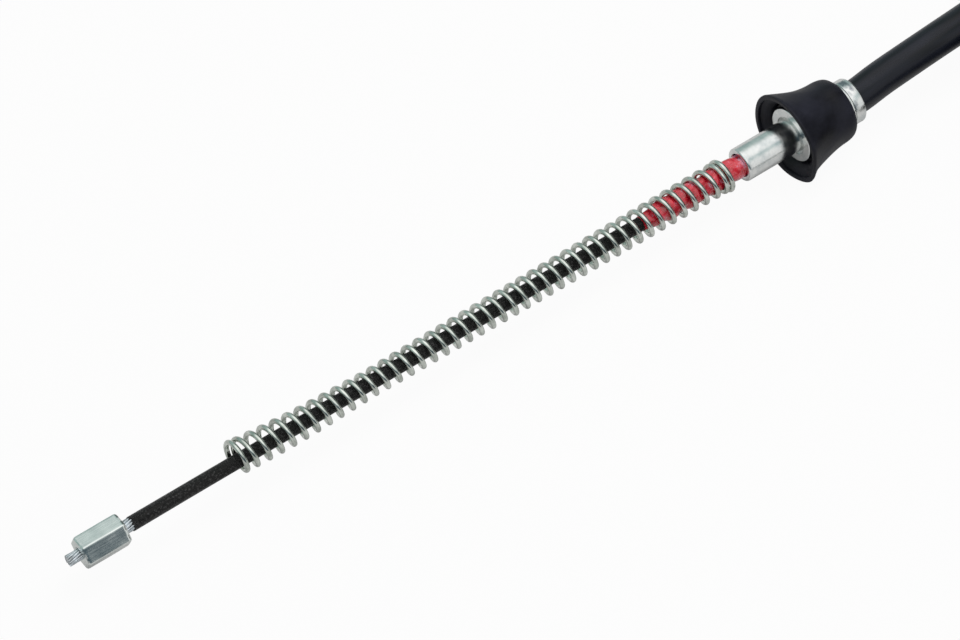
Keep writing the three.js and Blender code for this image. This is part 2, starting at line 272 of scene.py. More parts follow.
# A colour ramp; each stop is (place, grey or colour).
def ramp(tree, factor, stops):
    node = addNode(tree, "ShaderNodeValToRGB", {"Fac": factor})
    elements = node.color_ramp.elements
    while len(elements) < len(stops):
        elements.new(0.5)
    for element, (place, colour) in zip(elements, stops):
        element.position = place
        colour = (colour,) * 3 if isinstance(colour, (int, float)) else colour
        element.color = (*colour, 1)
    return node.outputs["Color"]


def mixColours(tree, factor, first, second, kind="MIX"):
    node = addNode(tree, "ShaderNodeMix", data_type="RGBA", blend_type=kind)
    for socket, value in ((node.inputs[0], factor), (node.inputs[6], first), (node.inputs[7], second)):
        if isinstance(value, bpy.types.NodeSocket):
            tree.links.new(value, socket)
        else:
            socket.default_value = (*value, 1) if isinstance(value, tuple) else value
    return node.outputs[2]


def addBump(tree, shader, height, strength, distance):
    inputs = {"Height": height, "Strength": strength, "Distance": distance}
    bump = addNode(tree, "ShaderNodeBump", inputs)
    tree.links.new(bump.outputs["Normal"], shader.inputs["Normal"])


# Painted reflection and shade: dark patches of noise between two places along the cable, faded in and out at
# both.
def paintedSmudgeMask(tree, look):
    along = addNode(tree, "ShaderNodeSeparateXYZ", {"Vector": surfaceCoords(tree, (1, 1, 1))}).outputs["X"]
    start, stop, fade = flangeAt + look["paintedSmudgeFrom"], flangeAt + look["paintedSmudgeTo"], look["paintedSmudgeFade"]
    inwards = {"Value": along, "From Min": start - fade, "From Max": start + fade}
    outwards = {"Value": along, "From Min": stop + fade, "From Max": stop - fade}
    patches = noise(tree, surfaceCoords(tree, (1, 1, 1)), look["paintedSmudgePatches"], 3.0)
    strength = {"Value": patches, "From Min": 0.5, "From Max": 0.62}
    parts = [addNode(tree, "ShaderNodeMapRange", inputs).outputs["Result"]
             for inputs in (inwards, outwards, strength)]
    product = addNode(tree, "ShaderNodeMath", {0: parts[0], 1: parts[1]}, operation="MULTIPLY").outputs[0]
    return addNode(tree, "ShaderNodeMath", {0: product, 1: parts[2]}, operation="MULTIPLY").outputs[0]


# Plated steel: cloudy tint, fine marks along one direction in bump and roughness, dull spots, and painted
# dark smudges of reflection and shade where the look asks for them.
def metalMaterial(name, look, attribute=None):
    material, tree, shader = newMaterial(name, Metallic=1.0)
    marks = noise(tree, surfaceCoords(tree, look["marks"], attribute), 1.0, 3.0)
    clouds = noise(tree, surfaceCoords(tree, (1, 1, 1), attribute), look["clouds"], 5.0, 0.6)
    tint = ramp(tree, clouds, [(0.3, look["dark"]), (0.62, look["light"])])
    streaks = ramp(tree, marks, [(0.25, look["streak"]), (0.6, 1.0)])
    colour = mixColours(tree, 1.0, tint, streaks, "MULTIPLY")
    # Painted dark smudges, standing in for reflection and shade, where the look asks for them.
    if "paintedSmudgeFrom" in look:
        colour = mixColours(tree, paintedSmudgeMask(tree, look), colour, look["paintedSmudge"], "MULTIPLY")
    tree.links.new(colour, shader.inputs["Base Color"])
    low, high = look["roughness"]
    both = addNode(tree, "ShaderNodeMath", {0: clouds, 1: marks}, operation="ADD").outputs[0]
    spread = {"Value": both, "From Min": 0.7, "From Max": 1.3, "To Min": low, "To Max": high}
    tree.links.new(addNode(tree, "ShaderNodeMapRange", spread).outputs["Result"], shader.inputs["Roughness"])
    addBump(tree, shader, marks, look["bump"], 0.05 * mm)
    return material


zincLook = {
    "marks": (9000, 260, 260), "clouds": 380, "dark": (0.60, 0.64, 0.64), "light": (0.86, 0.87, 0.85),
    "streak": 0.88, "roughness": (0.12, 0.26), "bump": 0.1,
    # The collar's bluish dark smudges set here are painted reflection and shade.
    "paintedSmudge": (0.36, 0.38, 0.42), "paintedSmudgeFrom": 17.4 * mm, "paintedSmudgeTo": 19.3 * mm, "paintedSmudgeFade": 0.35 * mm,
    "paintedSmudgePatches": 230,
}
stopLook = {
    "marks": (160, 5200, 5200), "clouds": 300, "dark": (0.66, 0.71, 0.69), "light": (0.84, 0.88, 0.85),
    "streak": 0.82, "roughness": (0.13, 0.26), "bump": 0.12,
}
springLook = {
    "marks": (3000, 3000, 120), "clouds": 420, "dark": (0.43, 0.47, 0.42), "light": (0.80, 0.84, 0.78),
    "streak": 0.78, "roughness": (0.06, 0.17), "bump": 0.1,
}
strandLook = {
    "marks": (400, 5000, 5000), "clouds": 700, "dark": (0.36, 0.38, 0.39), "light": (0.80, 0.86, 0.90),
    "streak": 0.6, "roughness": (0.1, 0.24), "bump": 0.2,
}

zinc = metalMaterial("ferruleZinc", zincLook)
stopSteel = metalMaterial("stopSteel", stopLook)
springSteel = metalMaterial("springSteel", springLook, "wrap")
strandSteel = metalMaterial("strandSteel", strandLook)


# Black plastic or rubber: faint streaks and dust in the colour, satin patches, fine bump.
def blackMaterial(name, look, attribute=None):
    material, tree, shader = newMaterial(name, Specular_IOR_Level=look["specular"])
    streaks = noise(tree, surfaceCoords(tree, look["streaks"], attribute), 1.0, 4.0)
    grain = noise(tree, surfaceCoords(tree, (1, 1, 1), attribute), look["grain"], 6.0, 0.62)
    body = ramp(tree, streaks, [(0.3, look["dark"]), (0.7, look["light"])])
    dust = ramp(tree, grain, [(look["dustFrom"], 0.0), (look["dustFrom"] + 0.1, look["dust"])])
    tree.links.new(mixColours(tree, 1.0, body, dust, "ADD"), shader.inputs["Base Color"])
    low, high = look["roughness"]
    spread = {"Value": streaks, "From Min": 0.3, "From Max": 0.7, "To Min": low, "To Max": high}
    tree.links.new(addNode(tree, "ShaderNodeMapRange", spread).outputs["Result"], shader.inputs["Roughness"])
    addBump(tree, shader, grain, look["bump"], look["relief"])
    return material


coatLook = {
    "streaks": (90, 1800, 1800), "grain": 1900, "dark": (0.003, 0.003, 0.003), "light": (0.012, 0.012, 0.011),
    "dust": 0.045, "dustFrom": 0.53, "roughness": (0.16, 0.4), "specular": 0.24,
    "bump": 1.0, "relief": 0.35 * mm,
}
rubberLook = {
    "streaks": (70, 95, 95), "grain": 1400, "dark": (0.001, 0.001, 0.002), "light": (0.020, 0.021, 0.032),
    "dust": 0.014, "dustFrom": 0.64, "roughness": (0.36, 0.6), "specular": 0.22,
    "bump": 0.4, "relief": 0.1 * mm,
}
conduitLook = {
    "streaks": (420, 420, 60), "grain": 1700, "dark": (0.003, 0.004, 0.006), "light": (0.011, 0.013, 0.021),
    "dust": 0.012, "dustFrom": 0.68, "roughness": (0.2, 0.34), "specular": 0.28,
    "bump": 0.08, "relief": 0.08 * mm,
}
tieLook = {
    "streaks": (300, 300, 300), "grain": 1500, "dark": (0.008, 0.008, 0.009), "light": (0.014, 0.014, 0.016),
    "dust": 0.012, "dustFrom": 0.68, "roughness": (0.4, 0.55), "specular": 0.4,
    "bump": 0.1, "relief": 0.08 * mm,
}

coatBlack = blackMaterial("coatBlack", coatLook)
bootBlack = blackMaterial("bootBlack", rubberLook)
conduitBlack = blackMaterial("conduitBlack", conduitLook, "wrap")
tieBlack = blackMaterial("tieBlack", tieLook)


# Wet red grease: patches from deep red to pink under a clear coat, with a little light going through. The
# pink patches are painted highlights, and a painted highlight whitens the grease towards the mouth.
def greaseMaterial(look):
    material, tree, shader = newMaterial("redGrease", Roughness=look["roughness"], Coat_Weight=look["coat"],
                                         Coat_Roughness=look["coatRoughness"],
                                         Subsurface_Weight=look["glow"], Subsurface_Scale=look["glowDepth"])
    shader.inputs["Subsurface Radius"].default_value = look["glowColour"]
    coords = surfaceCoords(tree, (1, 1, 1))
    patches = noise(tree, coords, look["patches"], 4.0)
    along = addNode(tree, "ShaderNodeSeparateXYZ", {"Vector": coords}).outputs["X"]
    mouth = flangeAt + mouthAt
    # Painted highlight: the colour climbs the ramp towards pink near the mouth.
    place = {"Value": along, "From Min": mouth - look["paintedHighlightOver"], "From Max": mouth,
             "To Max": look["paintedHighlight"]}
    paintedHighlight = addNode(tree, "ShaderNodeMapRange", place).outputs["Result"]
    patches = addNode(tree, "ShaderNodeMath", {0: patches, 1: paintedHighlight}, operation="ADD").outputs[0]
    colour = ramp(tree, patches, look["colours"])
    tree.links.new(colour, shader.inputs["Base Color"])
    addBump(tree, shader, noise(tree, coords, look["lumps"], 3.0), look["bump"], look["relief"])
    return material


greaseLook = {
    # The last, pink stop is a painted highlight.
    "colours": [(0.32, (0.30, 0.004, 0.010)), (0.5, (0.62, 0.010, 0.030)), (0.6, (0.70, 0.04, 0.07)),
                (0.7, (0.82, 0.36, 0.48))],
    "patches": 330, "lumps": 700, "bump": 0.65, "relief": 0.2 * mm, "roughness": 0.2,
    "paintedHighlight": 0.11, "paintedHighlightOver": 7 * mm,  # how much the painted highlight whitens it towards the mouth, and over what length
    "coat": 0.8, "coatRoughness": 0.05, "glow": 0.2, "glowDepth": 0.0012, "glowColour": (1.0, 0.12, 0.15),
}
greaseRed = greaseMaterial(greaseLook)
print("materials made")


# Conduit: a lead from the ferrule, a coil in two layers and a tail to the far ferrule

conduit = {
    "radius": 4.7 * mm,
    "sides": 32,
    "spacing": 1.5 * mm,
    "straight": [(16.45, 0, 12.25), (21, 0, 12.25)],
    "lead": [(30, 0.5, 13.15), (40, 0.7, 14.15), (50, 0.75, 15.25), (63.3, 1.3, 15.6)],
    "coilCentre": (101, -50.8),
    "coilRadius": 39,        # of the innermost turn
    "pitch": 9.7,            # between turns that lie side by side
    "startAngle": 94,
    "layerAngle": 587,       # wound in each layer: inwards above, then outwards below
    "dropAngle": 90,         # in which the line comes down to the lower layer
    "stepAngle": 8,          # between the coil's points
    "height": 5.8,           # of the lower layer's line
    "rise": 9.8,             # from the lower layer to the upper one
    "tailEnd": 56.3,
}


# Radius of the coil's line: a spiral inwards, one even stretch, then a spiral outwards.
def coilRadiusAt(angle):
    layer, drop = conduit["layerAngle"], conduit["dropAngle"]
    left = np.maximum(layer - angle, 0) + np.maximum(angle - layer - drop, 0)
    return conduit["coilRadius"] + conduit["pitch"] * left / 360


# Points of the coil, wound clockwise; its height falls as half a cosine wave on the even stretch.
def coilTurns():
    layer, drop = conduit["layerAngle"], conduit["dropAngle"]
    angle = np.linspace(0, 2 * layer + drop, int((2 * layer + drop) / conduit["stepAngle"]))
    turn = np.radians(conduit["startAngle"] - angle)
    radius = coilRadiusAt(angle)
    x = conduit["coilCentre"][0] + radius * np.cos(turn)
    y = conduit["coilCentre"][1] + radius * np.sin(turn)
    fallen = 0.5 - 0.5 * np.cos(np.pi * np.clip((angle - layer) / drop, 0, 1))
    return np.stack([x, y, conduit["height"] + conduit["rise"] * (1 - fallen)], -1)


# The conduit's centreline: its listed points, then the coil, then straight to the far end.
def conduitRoute():
    lead = np.array(conduit["straight"] + conduit["lead"], float)
    coil = coilTurns()
    tail = [(x, coil[-1, 1], conduit["height"]) for x in np.linspace(coil[-1, 0], conduit["tailEnd"], 5)[1:]]
    points = np.concatenate([lead, coil, tail]) * mm
    return smoothLine(points + [flangeAt, 0, 0], conduit["spacing"])


# A round tube along the route. wrap holds each point's place in the ring and along the route.
def makeConduit():
    route = conduitRoute()
    length = placesAlong(route)
    sideways = np.cross(unit(np.gradient(route, axis=0)), [0, 0, 1])
    ring = circle(conduit["radius"], conduit["sides"])
    uneven = ripples(11, 14, 3, 30 * mm)
    turn = 2 * np.pi * np.arange(conduit["sides"]) / conduit["sides"]
    swell = 1 + 0.004 * uneven(turn, length[:, None])
    rings = sweep(route, sideways, ring * swell[..., None])
    piece = makePiece("conduit", [capped(rings)], conduitBlack, "casing",
                      ("conduit_lead", "conduit_coil", "conduit_tail"), wrap=aroundAndAlong(ring, length))
    return piece, route, float(length[-1])


conduitPiece, conduitLine, conduitLength = makeConduit()
print("conduit made,", round(conduitLength, 3), "m")


# Straps that hug the coil's turns

tie = {
    "angles": (0, 215),     # degrees round the coil
    "width": 5 * mm, "thickness": 0.8 * mm, "slack": 0.12 * mm, "spacing": 0.7 * mm,
    "head": (3.6, 3.2, 1.5),  # half sizes outwards, across and up, in mm
    "headSink": 0.62,       # share of the head's half height that stands above the strap's line
    "tip": 2.2 * mm, "tipGap": 1.2 * mm, "tipWidth": 0.96,
    "edgeSide": 0.6, "edgeFlat": 0.94,  # shares at which the strap's corners are cut
}


# A tight closed line round circles: their hull, met at each direction by the furthest circle.
def hugging(centres, radius, spacing):
    turn = np.linspace(0, 2 * np.pi, 721)[:-1]
    facing = np.stack([np.cos(turn), np.sin(turn)], -1)
    furthest = centres[np.argmax(facing @ centres.T, axis=1)]
    line = furthest + radius * facing
    line = np.concatenate([line, line[:1]])
    place = placesAlong(line)
    wanted = np.linspace(0, place[-1], int(place[-1] / spacing))[:-1]
    return np.stack([np.interp(wanted, place, line[:, k]) for k in (0, 1)], -1)


# A block with soft edges: |x/a|^p + |y/b|^p + |z/c|^p = 1 along the given axes.
def roundedBlock(centre, axes, half, power=5, rows=18, columns=28):
    up = np.linspace(-np.pi / 2, np.pi / 2, rows)[1:-1, None]
    turn = 2 * np.pi * np.arange(columns) / columns
    ball = np.stack([np.cos(up) * np.cos(turn), np.cos(up) * np.sin(turn), np.sin(up) + 0 * turn], -1)
    size = np.sum(np.abs(ball) ** power, -1, keepdims=True) ** (-1 / power)
    return capped(centre + (ball * size * np.asarray(half)) @ np.asarray(axes, float))


# A strap round the turns that pass at one angle, with a small locking head on top.
def makeTie(index, degrees):
    passes = np.array([(conduit["startAngle"] - degrees) % 360 + 360 * k for k in range(4)])
    passes = passes[passes <= 2 * conduit["layerAngle"] + conduit["dropAngle"]]
    above = passes < conduit["layerAngle"] + conduit["dropAngle"] / 2
    radii = coilRadiusAt(passes) * mm
    heights = np.where(above, conduit["height"] + conduit["rise"], conduit["height"]) * mm
    reach = conduit["radius"] + tie["slack"] + tie["thickness"] / 2
    line = hugging(np.stack([radii, heights], -1), reach, tie["spacing"])
    turn = math.radians(degrees)
    outward = np.array([math.cos(turn), math.sin(turn), 0])
    across = np.array([-math.sin(turn), math.cos(turn), 0])
    centre = np.array([flangeAt + conduit["coilCentre"][0] * mm, conduit["coilCentre"][1] * mm, 0])
    path = centre + line[:, :1] * outward + line[:, 1:] * [0, 0, 1]
    tangent = unit(np.roll(path, -1, 0) - np.roll(path, 1, 0))
    normal = np.cross(tangent, across)
    a, b = tie["width"] / 2, tie["thickness"] / 2
    low, flat = b * tie["edgeSide"], a * tie["edgeFlat"]
    profile = np.array([(-a, -low), (-flat, -b), (flat, -b), (a, -low), (a, low), (flat, b), (-flat, b),
                        (-a, low)])
    strap = path[:, None] + profile[:, :1] * across + profile[:, 1:] * normal[:, None]
    strapFaces = gridFaces(*strap.shape[:2], closedRows=True)[:, ::-1].tolist()
    half = np.array(tie["head"]) * mm
    headUp = heights.max() + reach + half[2] * tie["headSink"]
    headAt = centre + outward * radii[above].mean() + [0, 0, headUp]
    head = roundedBlock(headAt, (across, outward, (0, 0, 1)), half[[1, 0, 2]])
    tip = roundedBlock(headAt - outward * (half[0] + tie["tipGap"]), (across, outward, (0, 0, 1)),
                       (a * tie["tipWidth"], tie["tip"], b))
    return makePiece(f"coilTie{index}", [(strap, strapFaces), head, tip], tieBlack, "casing",
                     (f"coil_tie_{index}",))


ties = [makeTie(index + 1, degrees) for index, degrees in enumerate(tie["angles"])]
print("ties made")


# Ferrule of the near end: front tube, flange, sleeve under the boot, lip and collar

ferrule = {
    "bore": 3.2, "tube": 4.62, "mouthRound": 0.6, "boreRound": 0.4, "cove": 5.2, "coveDepth": 0.8,
    "flange": 7.7, "flangeThickness": 1.8, "flangeRound": 0.35, "sleeve": 5.7, "lipAt": 16.1, "lip": 6.1,
    "lipLength": 0.55, "groove": 5.85, "grooveLength": 0.4, "band": 6.2, "bandRound": 0.4,
    "socket": 4.9, "socketDepth": 4.0, "segments": 128,
    "tubeRows": 12, "tubeFrom": 1.5, "tubeTo": -0.6,  # the plain stretch of the tube
    "coveLip": 0.2, "lipRound": 0.2, "grooveStep": 0.05, "bandFront": 0.25,
}


# Turned outline, in mm: mouth, tube, cove, flange, sleeve, lip, groove, collar and bore.
def makeFerrule(f):
    mouth = mouthAt / mm
    bandAt = f["lipAt"] + f["lipLength"] + f["grooveLength"]
    edge, end = f["flangeRound"], collarEndAt / mm
    lipRound, front = f["lipRound"], f["bandFront"]
    outline = [
        *arc(f["bore"] + f["boreRound"], mouth + f["boreRound"], f["boreRound"], 180, 270, 5),
        *arc(f["tube"] - f["mouthRound"], mouth + f["mouthRound"], f["mouthRound"], -90, 0, 8),
        *[(f["tube"], x) for x in np.linspace(mouth + f["tubeFrom"], f["tubeTo"], f["tubeRows"])],
        *bend((f["tube"], -0.3), (f["tube"] + 0.05, f["coveDepth"]), (f["cove"], f["coveDepth"]), 6),
        (f["cove"] + 0.12, 0.1),
        (f["cove"] + f["coveLip"], 0),
        *arc(f["flange"] - edge, edge, edge, -90, 0, 5),
        *arc(f["flange"] - edge, f["flangeThickness"] - edge, edge, 0, 90, 5),
        (f["sleeve"], f["flangeThickness"]),
        (f["sleeve"], f["lipAt"]),
        (f["lip"] - 0.1, f["lipAt"]),
        *arc(f["lip"] - lipRound, f["lipAt"] + lipRound, lipRound, -70, 0, 3),
        *arc(f["lip"] - lipRound, f["lipAt"] + f["lipLength"] - lipRound, lipRound, 0, 90, 3),
        (f["groove"], f["lipAt"] + f["lipLength"] + f["grooveStep"]),
        (f["groove"], bandAt - f["grooveStep"]),
        *arc(f["band"] - front, bandAt + front, front, -90, 0, 4),
        *arc(f["band"] - f["bandRound"], end - f["bandRound"], f["bandRound"], 0, 90, 6),
        (f["socket"], end),
        (f["socket"], end - f["socketDepth"]),
        (f["bore"], end - f["socketDepth"]),
    ]
    rings = turned(np.array(outline) * mm, f["segments"])
    return makePiece("endFerrule", [closedTube(rings)], zinc, "casing", ("end_ferrule",))


makeFerrule(ferrule)
print("ferrule made")


# Rubber boot

boot = {
    "rim": 12.25, "rimThickness": 1.3, "ahead": 1.9, "rimRound": 0.28, "bell": (9.15, 5.8), "neck": 8.9,
    "neckAt": 11.4, "endAt": 15.9, "end": 6.5, "seat": 5.75, "web": 2.1, "well": 8.3, "segments": 160,
    "uneven": 0.09, "lip": 0.75, "lipTurn": 207, "lipSpread": 24,  # the drawn-out stretch of the rim
}


# Turned outline, in mm, of a bell with a round rim. Its radius gets ripples and one drawn-out stretch
# of the rim, lip * exp(-(angle off)^2), cut off where the boot would leave the solid's box.
def makeBoot(b):
    lip, inner = b["rimRound"], b["rim"] - b["rimThickness"]
    outline = [
        *arc(inner + lip, lip - b["ahead"], lip, 180, 270, 5),
        *arc(b["rim"] - lip, lip - b["ahead"], lip, -90, 0, 6),
        *bend((b["rim"], 0.6 - b["ahead"]), b["bell"], (b["neck"], b["neckAt"]), 26),
        *bend((b["neck"], b["neckAt"] + 0.3), (b["neck"], b["endAt"]), (b["end"] + 0.5, b["endAt"]), 12),
        (b["end"], b["endAt"] - 0.02),
        (b["seat"], b["endAt"] - 0.1),
        (b["seat"], b["web"]),
        (b["well"], b["web"]),
        *bend((b["well"] + 0.1, b["web"] - 0.3), (b["well"] + 0.2, 0), (inner, 0.9 - b["ahead"]), 8),
    ]
    outline = np.array(outline)
    uneven = ripples(5, 22, 9, 14 * mm)

    def wobble(turn, x):
        off = (np.degrees(turn) - b["lipTurn"]) / b["lipSpread"]
        near = np.clip(1 - (x / mm + b["ahead"]) / b["web"], 0, 1)
        swell = b["uneven"] * uneven(turn, x) + b["lip"] * np.exp(-off ** 2) * near
        room = (b["rim"] - 0.01) / np.maximum(np.abs(np.sin(turn)), np.cos(turn))
        return np.minimum(swell, room - outline[:, :1]) * mm

    rings = turned(outline * mm, b["segments"], wobble)
    return makePiece("rubberBoot", [closedTube(rings)], bootBlack, "casing", ("rubber_boot",))


makeBoot(boot)
print("boot made")


# Return spring: one round wire, closely wound at its ends

spring = {
    "wire": 1.36, "length": 150.92, "turns": 44.183, "start": -90, "leftRadius": 4.05, "waistRadius": 2.95,
    "mouthRadius": 3.87, "lastRadius": 4.2, "waistShare": 0.27, "closedLeft": 1.083, "closedRight": 1.75,
    "touchGap": 0.19, "lift": 1.1, "liftAngle": 30, "liftLength": 26, "toMouth": 4.0, "mouthCurve": 0.7,
    "flareLength": 3, "flatLength": 1, "stepsPerTurn": 36, "sides": 14,
}


# The wire's line in mm: a helix whose pitch opens between its closed ends, round a waist.
def springLine(s, turn):
    left = mouthAt / mm - s["toMouth"] - s["length"]
    right = left + s["length"]
    closedPitch = s["wire"] + s["touchGap"]
    openTurns = s["turns"] - s["closedLeft"] - s["closedRight"]
    openRise = s["length"] - s["wire"] - closedPitch * s["turns"]
    along = closedPitch * turn + openRise * np.clip((turn - s["closedLeft"]) / openTurns, 0, 1)
    x = left + s["wire"] / 2 + along
    waistAt = left + s["waistShare"] * s["length"]
    before = s["waistRadius"] + (s["leftRadius"] - s["waistRadius"]) * (waistAt - x) / (waistAt - left)
    share = np.clip((x - waistAt) / (right - waistAt), 0, 1)
    after = s["waistRadius"] + (s["mouthRadius"] - s["waistRadius"]) * share ** s["mouthCurve"]
    flare = np.clip((x - (right - s["flareLength"])) / (s["flareLength"] - s["flatLength"]), 0, 1)
    after = after + (s["lastRadius"] - s["mouthRadius"]) * flare ** 2 * (3 - 2 * flare)
    radius = np.where(x < waistAt, before, after)
    angle = math.radians(s["start"]) + 2 * np.pi * turn
    lift = s["lift"] * np.clip(1 - along / s["liftLength"], 0, 1) ** 2
    up = math.radians(s["liftAngle"])
    outward = np.stack([0 * x, np.cos(angle), np.sin(angle)], -1)
    middle = np.stack([x, lift * math.cos(up), lift * math.sin(up)], -1)
    return middle + radius[:, None] * outward, outward


# A round wire along that line. wrap holds each point's place in the ring and along the wire.
def makeSpring(s):
    turn = np.linspace(0, s["turns"], int(s["turns"] * s["stepsPerTurn"]) + 1)
    line, outward = springLine(s, turn)
    line = line * mm + [flangeAt, 0, axisHeight]
    ring = circle(s["wire"] / 2 * mm, s["sides"])
    wrap = aroundAndAlong(ring, placesAlong(line))
    return makePiece("returnSpring", [capped(sweep(line, outward, ring))], springSteel, "casing",
                     ("return_spring",), wrap=wrap)


makeSpring(spring)
print("spring made")


# Core: laid strand, coating, hexagon stop and grease

strand = {"radius": 1.5, "neckRadius": 1.72, "rod": 1.24, "wires": 12, "wire": 0.305, "innerWires": 6,
          "innerAt": 0.6, "lay": 41, "sides": 12}
core = {"tip": -219.0, "stopOuter": -215.6, "stopInner": -203.4, "coatStart": -201.4, "coreEnd": -8.8,
        "coat": 1.9, "coatBore": 1.62, "slant": 0.35, "slantTurn": 1.9, "ragged": 0.12, "skin": 0.02,
        "rows": 120, "segments": 64}


# One wire of the strand: a left-handed helix round the strand's own axis.
def wireTube(place, direction, x, s, radiusAt, angle, wireRadius):
    turn = angle - 2 * np.pi * x / s["lay"]
    side = np.cross(direction, [0, 0, 1])
    side = side / np.linalg.norm(side)
    up = np.cross(direction, side)
    outward = np.cos(turn)[:, None] * side + np.sin(turn)[:, None] * up
    path = place + direction * x[:, None] * mm + outward * radiusAt * mm
    return capped(sweep(path, outward, circle(wireRadius * mm, s["sides"])))


# The outer wires of a bare stretch, and the inner ones where its end shows.
def laidWires(place, direction, start, stop, s, seed, withInner):
    dice = np.random.default_rng(seed)
    parts = []
    rings = [(s["wires"], s["radius"] - s["wire"], s["wire"])]
    if withInner:
        rings.append((s["innerWires"], s["innerAt"], s["wire"] * 0.95))
        rings.append((1, 0.0, s["wire"]))
    for count, radiusAt, wireRadius in rings:
        for k in range(count):
            cut = dice.uniform(0, 0.12) if withInner else 0.0
            x = np.linspace(start + cut, stop, max(6, int((stop - start) / 0.4)))
            parts.append(wireTube(place, direction, x, s, radiusAt, 2 * np.pi * k / count, wireRadius))
    return parts


# Bare stretches show the laid wires; a plain rod joins them inside the coating and the stop.
def makeStrand(name, place, direction, stub, neck, rod, s, body, replaced):
    place, direction = np.asarray(place, float), np.asarray(direction, float)
    opened = {**s, "radius": s["neckRadius"]}
    parts = laidWires(place, direction, *stub, s, 3, True)
    parts += laidWires(place, direction, *neck, opened, 4, False)
    side = np.cross(direction, [0, 0, 1])
    path = place + direction * np.linspace(*rod, 30)[:, None] * mm
    parts.append(capped(sweep(path, np.broadcast_to(side, path.shape), circle(s["rod"] * mm, 24))))
    return makePiece(name, parts, strandSteel, body, replaced)


coreAxis = (flangeAt, 0, axisHeight)
makeStrand("coreStrand", coreAxis, (1, 0, 0), (core["tip"], core["stopOuter"] + 1.5),
           (core["stopInner"] - 1, core["coatStart"] + 1), (core["stopOuter"] + 0.5, core["coreEnd"]), strand,
           "near_core", ("core_strand",))


# A thin sleeve whose left end is cut unevenly and on a slant.
def makeCoating(c):
    segments = c["segments"]
    turn = 2 * np.pi * np.arange(segments) / segments
    ragged = ripples(21, 16, 14, 10 * mm)(turn, np.zeros((1, 1)))[0]
    start = c["coatStart"] + c["slant"] * np.cos(turn - c["slantTurn"]) + c["ragged"] * ragged
    stations = np.linspace(0, 1, c["rows"]) ** 1.5
    outer = start + (c["coreEnd"] - start) * stations[:, None]
    skin = c["skin"] * (ripples(8, 18, 6, 25 * mm)(turn, outer * mm) - 1)
    radius = np.concatenate([c["coat"] + skin, np.full((2, segments), c["coatBore"])])
    radius[0] -= 0.08
    along = np.concatenate([outer, outer[-1:], outer[:1] + 0.05])
    rings = onAxis(radius * mm, turn, along * mm)
    return makePiece("coreCoating", [closedTube(rings)], coatBlack, "near_core",
                     ("core_coating",))


makeCoating(core)

stop = {"acrossFlats": 7.8, "chamfer": 0.75, "turn": 22, "bore": 1.62, "sharpness": 44, "hollow": 0.012,
        "columns": 144}


# A hexagon with rounded corners: apothem / (sum of cos^p of the angle to each face)^(1/p).
def makeStop(h, c):
    turn = 2 * np.pi * np.arange(h["columns"]) / h["columns"]
    faces = np.radians(h["turn"] + 60 * np.arange(6))[:, None]
    facing = np.clip(np.cos(turn - faces), 0, 1) ** h["sharpness"]
    outline = facing.sum(0) ** (-1 / h["sharpness"])
    apothem, cut = h["acrossFlats"] / 2, h["chamfer"]
    length = c["stopInner"] - c["stopOuter"]
    rows = [(h["bore"], 0.35, False), (h["bore"] + 0.3, 0.0, False), (apothem - cut, 0, True),
            (apothem - 0.45 * cut, 0.08, True), (apothem - 0.1 * cut, 0.55 * cut, True),
            (apothem, cut * 1.1, True)]
    rows += [(apothem, x, True) for x in np.linspace(1, length - 1, 14)]
    rows += [(r, length - x, isHex) for r, x, isHex in rows[5::-1]]
    radius = np.array([r * (outline if isHex else np.ones_like(turn)) for r, x, isHex in rows])
    along = np.array([c["stopOuter"] + x for r, x, isHex in rows])[:, None]
    hollow = h["hollow"] * ripples(31, 12, 5, 9 * mm)(turn, along * mm)
    radius = radius + np.where(radius > apothem - 0.01, hollow - 0.02, 0)
    rings = onAxis(radius * mm, turn, along * mm)
    return makePiece("hexEndStop", [closedTube(rings)], stopSteel, "near_core",
                     ("hex_end_stop",), sharpAngle=28)


makeStop(stop, core)

grease = {"length": 34, "inMouth": 2.3, "radius": (2.45, 3.0), "fullAt": 0.35, "lump": 0.2, "most": 3.15,
          "least": 1.98, "taperStart": 7, "taperEnd": 40, "columns": 72, "rows": 260}


# A lumpy skin round the coating: mean radius + seeded ripples, thinning out at both ends.
def makeGrease(g):
    stop = mouthAt / mm + g["inMouth"]
    share = np.linspace(0, 1, g["rows"])[:, None]
    along = stop - g["length"] + g["length"] * share
    turn = 2 * np.pi * np.arange(g["columns"]) / g["columns"]
    ends = np.minimum(1, np.minimum(share * g["taperStart"], (1 - share) * g["taperEnd"] + 0.1))
    lumps = ripples(41, 26, 4, 4.5 * mm)(turn, along * mm)
    thin, full = g["radius"]
    mean = thin + (full - thin) * np.clip(share / g["fullAt"], 0, 1)
    radius = g["least"] + (mean - g["least"] + g["lump"] * lumps) * ends
    radius = np.clip(radius, g["least"] - 0.06, g["most"])
    radius = np.concatenate([radius, np.full((2, g["columns"]), core["coat"])])
    along = np.concatenate([along + 0 * turn, along[-1:] + 0 * turn, along[:1] + 0 * turn])
    rings = onAxis(radius * mm, turn, along * mm)
    return makePiece("coreGrease", [closedTube(rings)], greaseRed, "near_core",
                     ("core_grease",), sharpAngle=80)


makeGrease(grease)
print("core made")


# Far end, which points back along -X: ferrule, coating, strand and nipple

farEnd = {
    "sleeveAt": 60, "sleeve": 5.8, "tube": 4.6, "sleeveLength": 17, "tubeLength": 17, "bore": 2.2,
    "edge": 0.4, "socket": 4.9, "socketDepth": 4, "coreFrom": 5.5, "nippleAt": 48, "coatEnd": 46,
    "nipple": 4.0, "nippleLength": 8, "nippleStub": 0.6, "nippleBore": 1.62, "segments": 96,
}
farPlace = np.array([flangeAt + farEnd["sleeveAt"] * mm, conduitLine[-1, 1], conduit["height"] * mm])


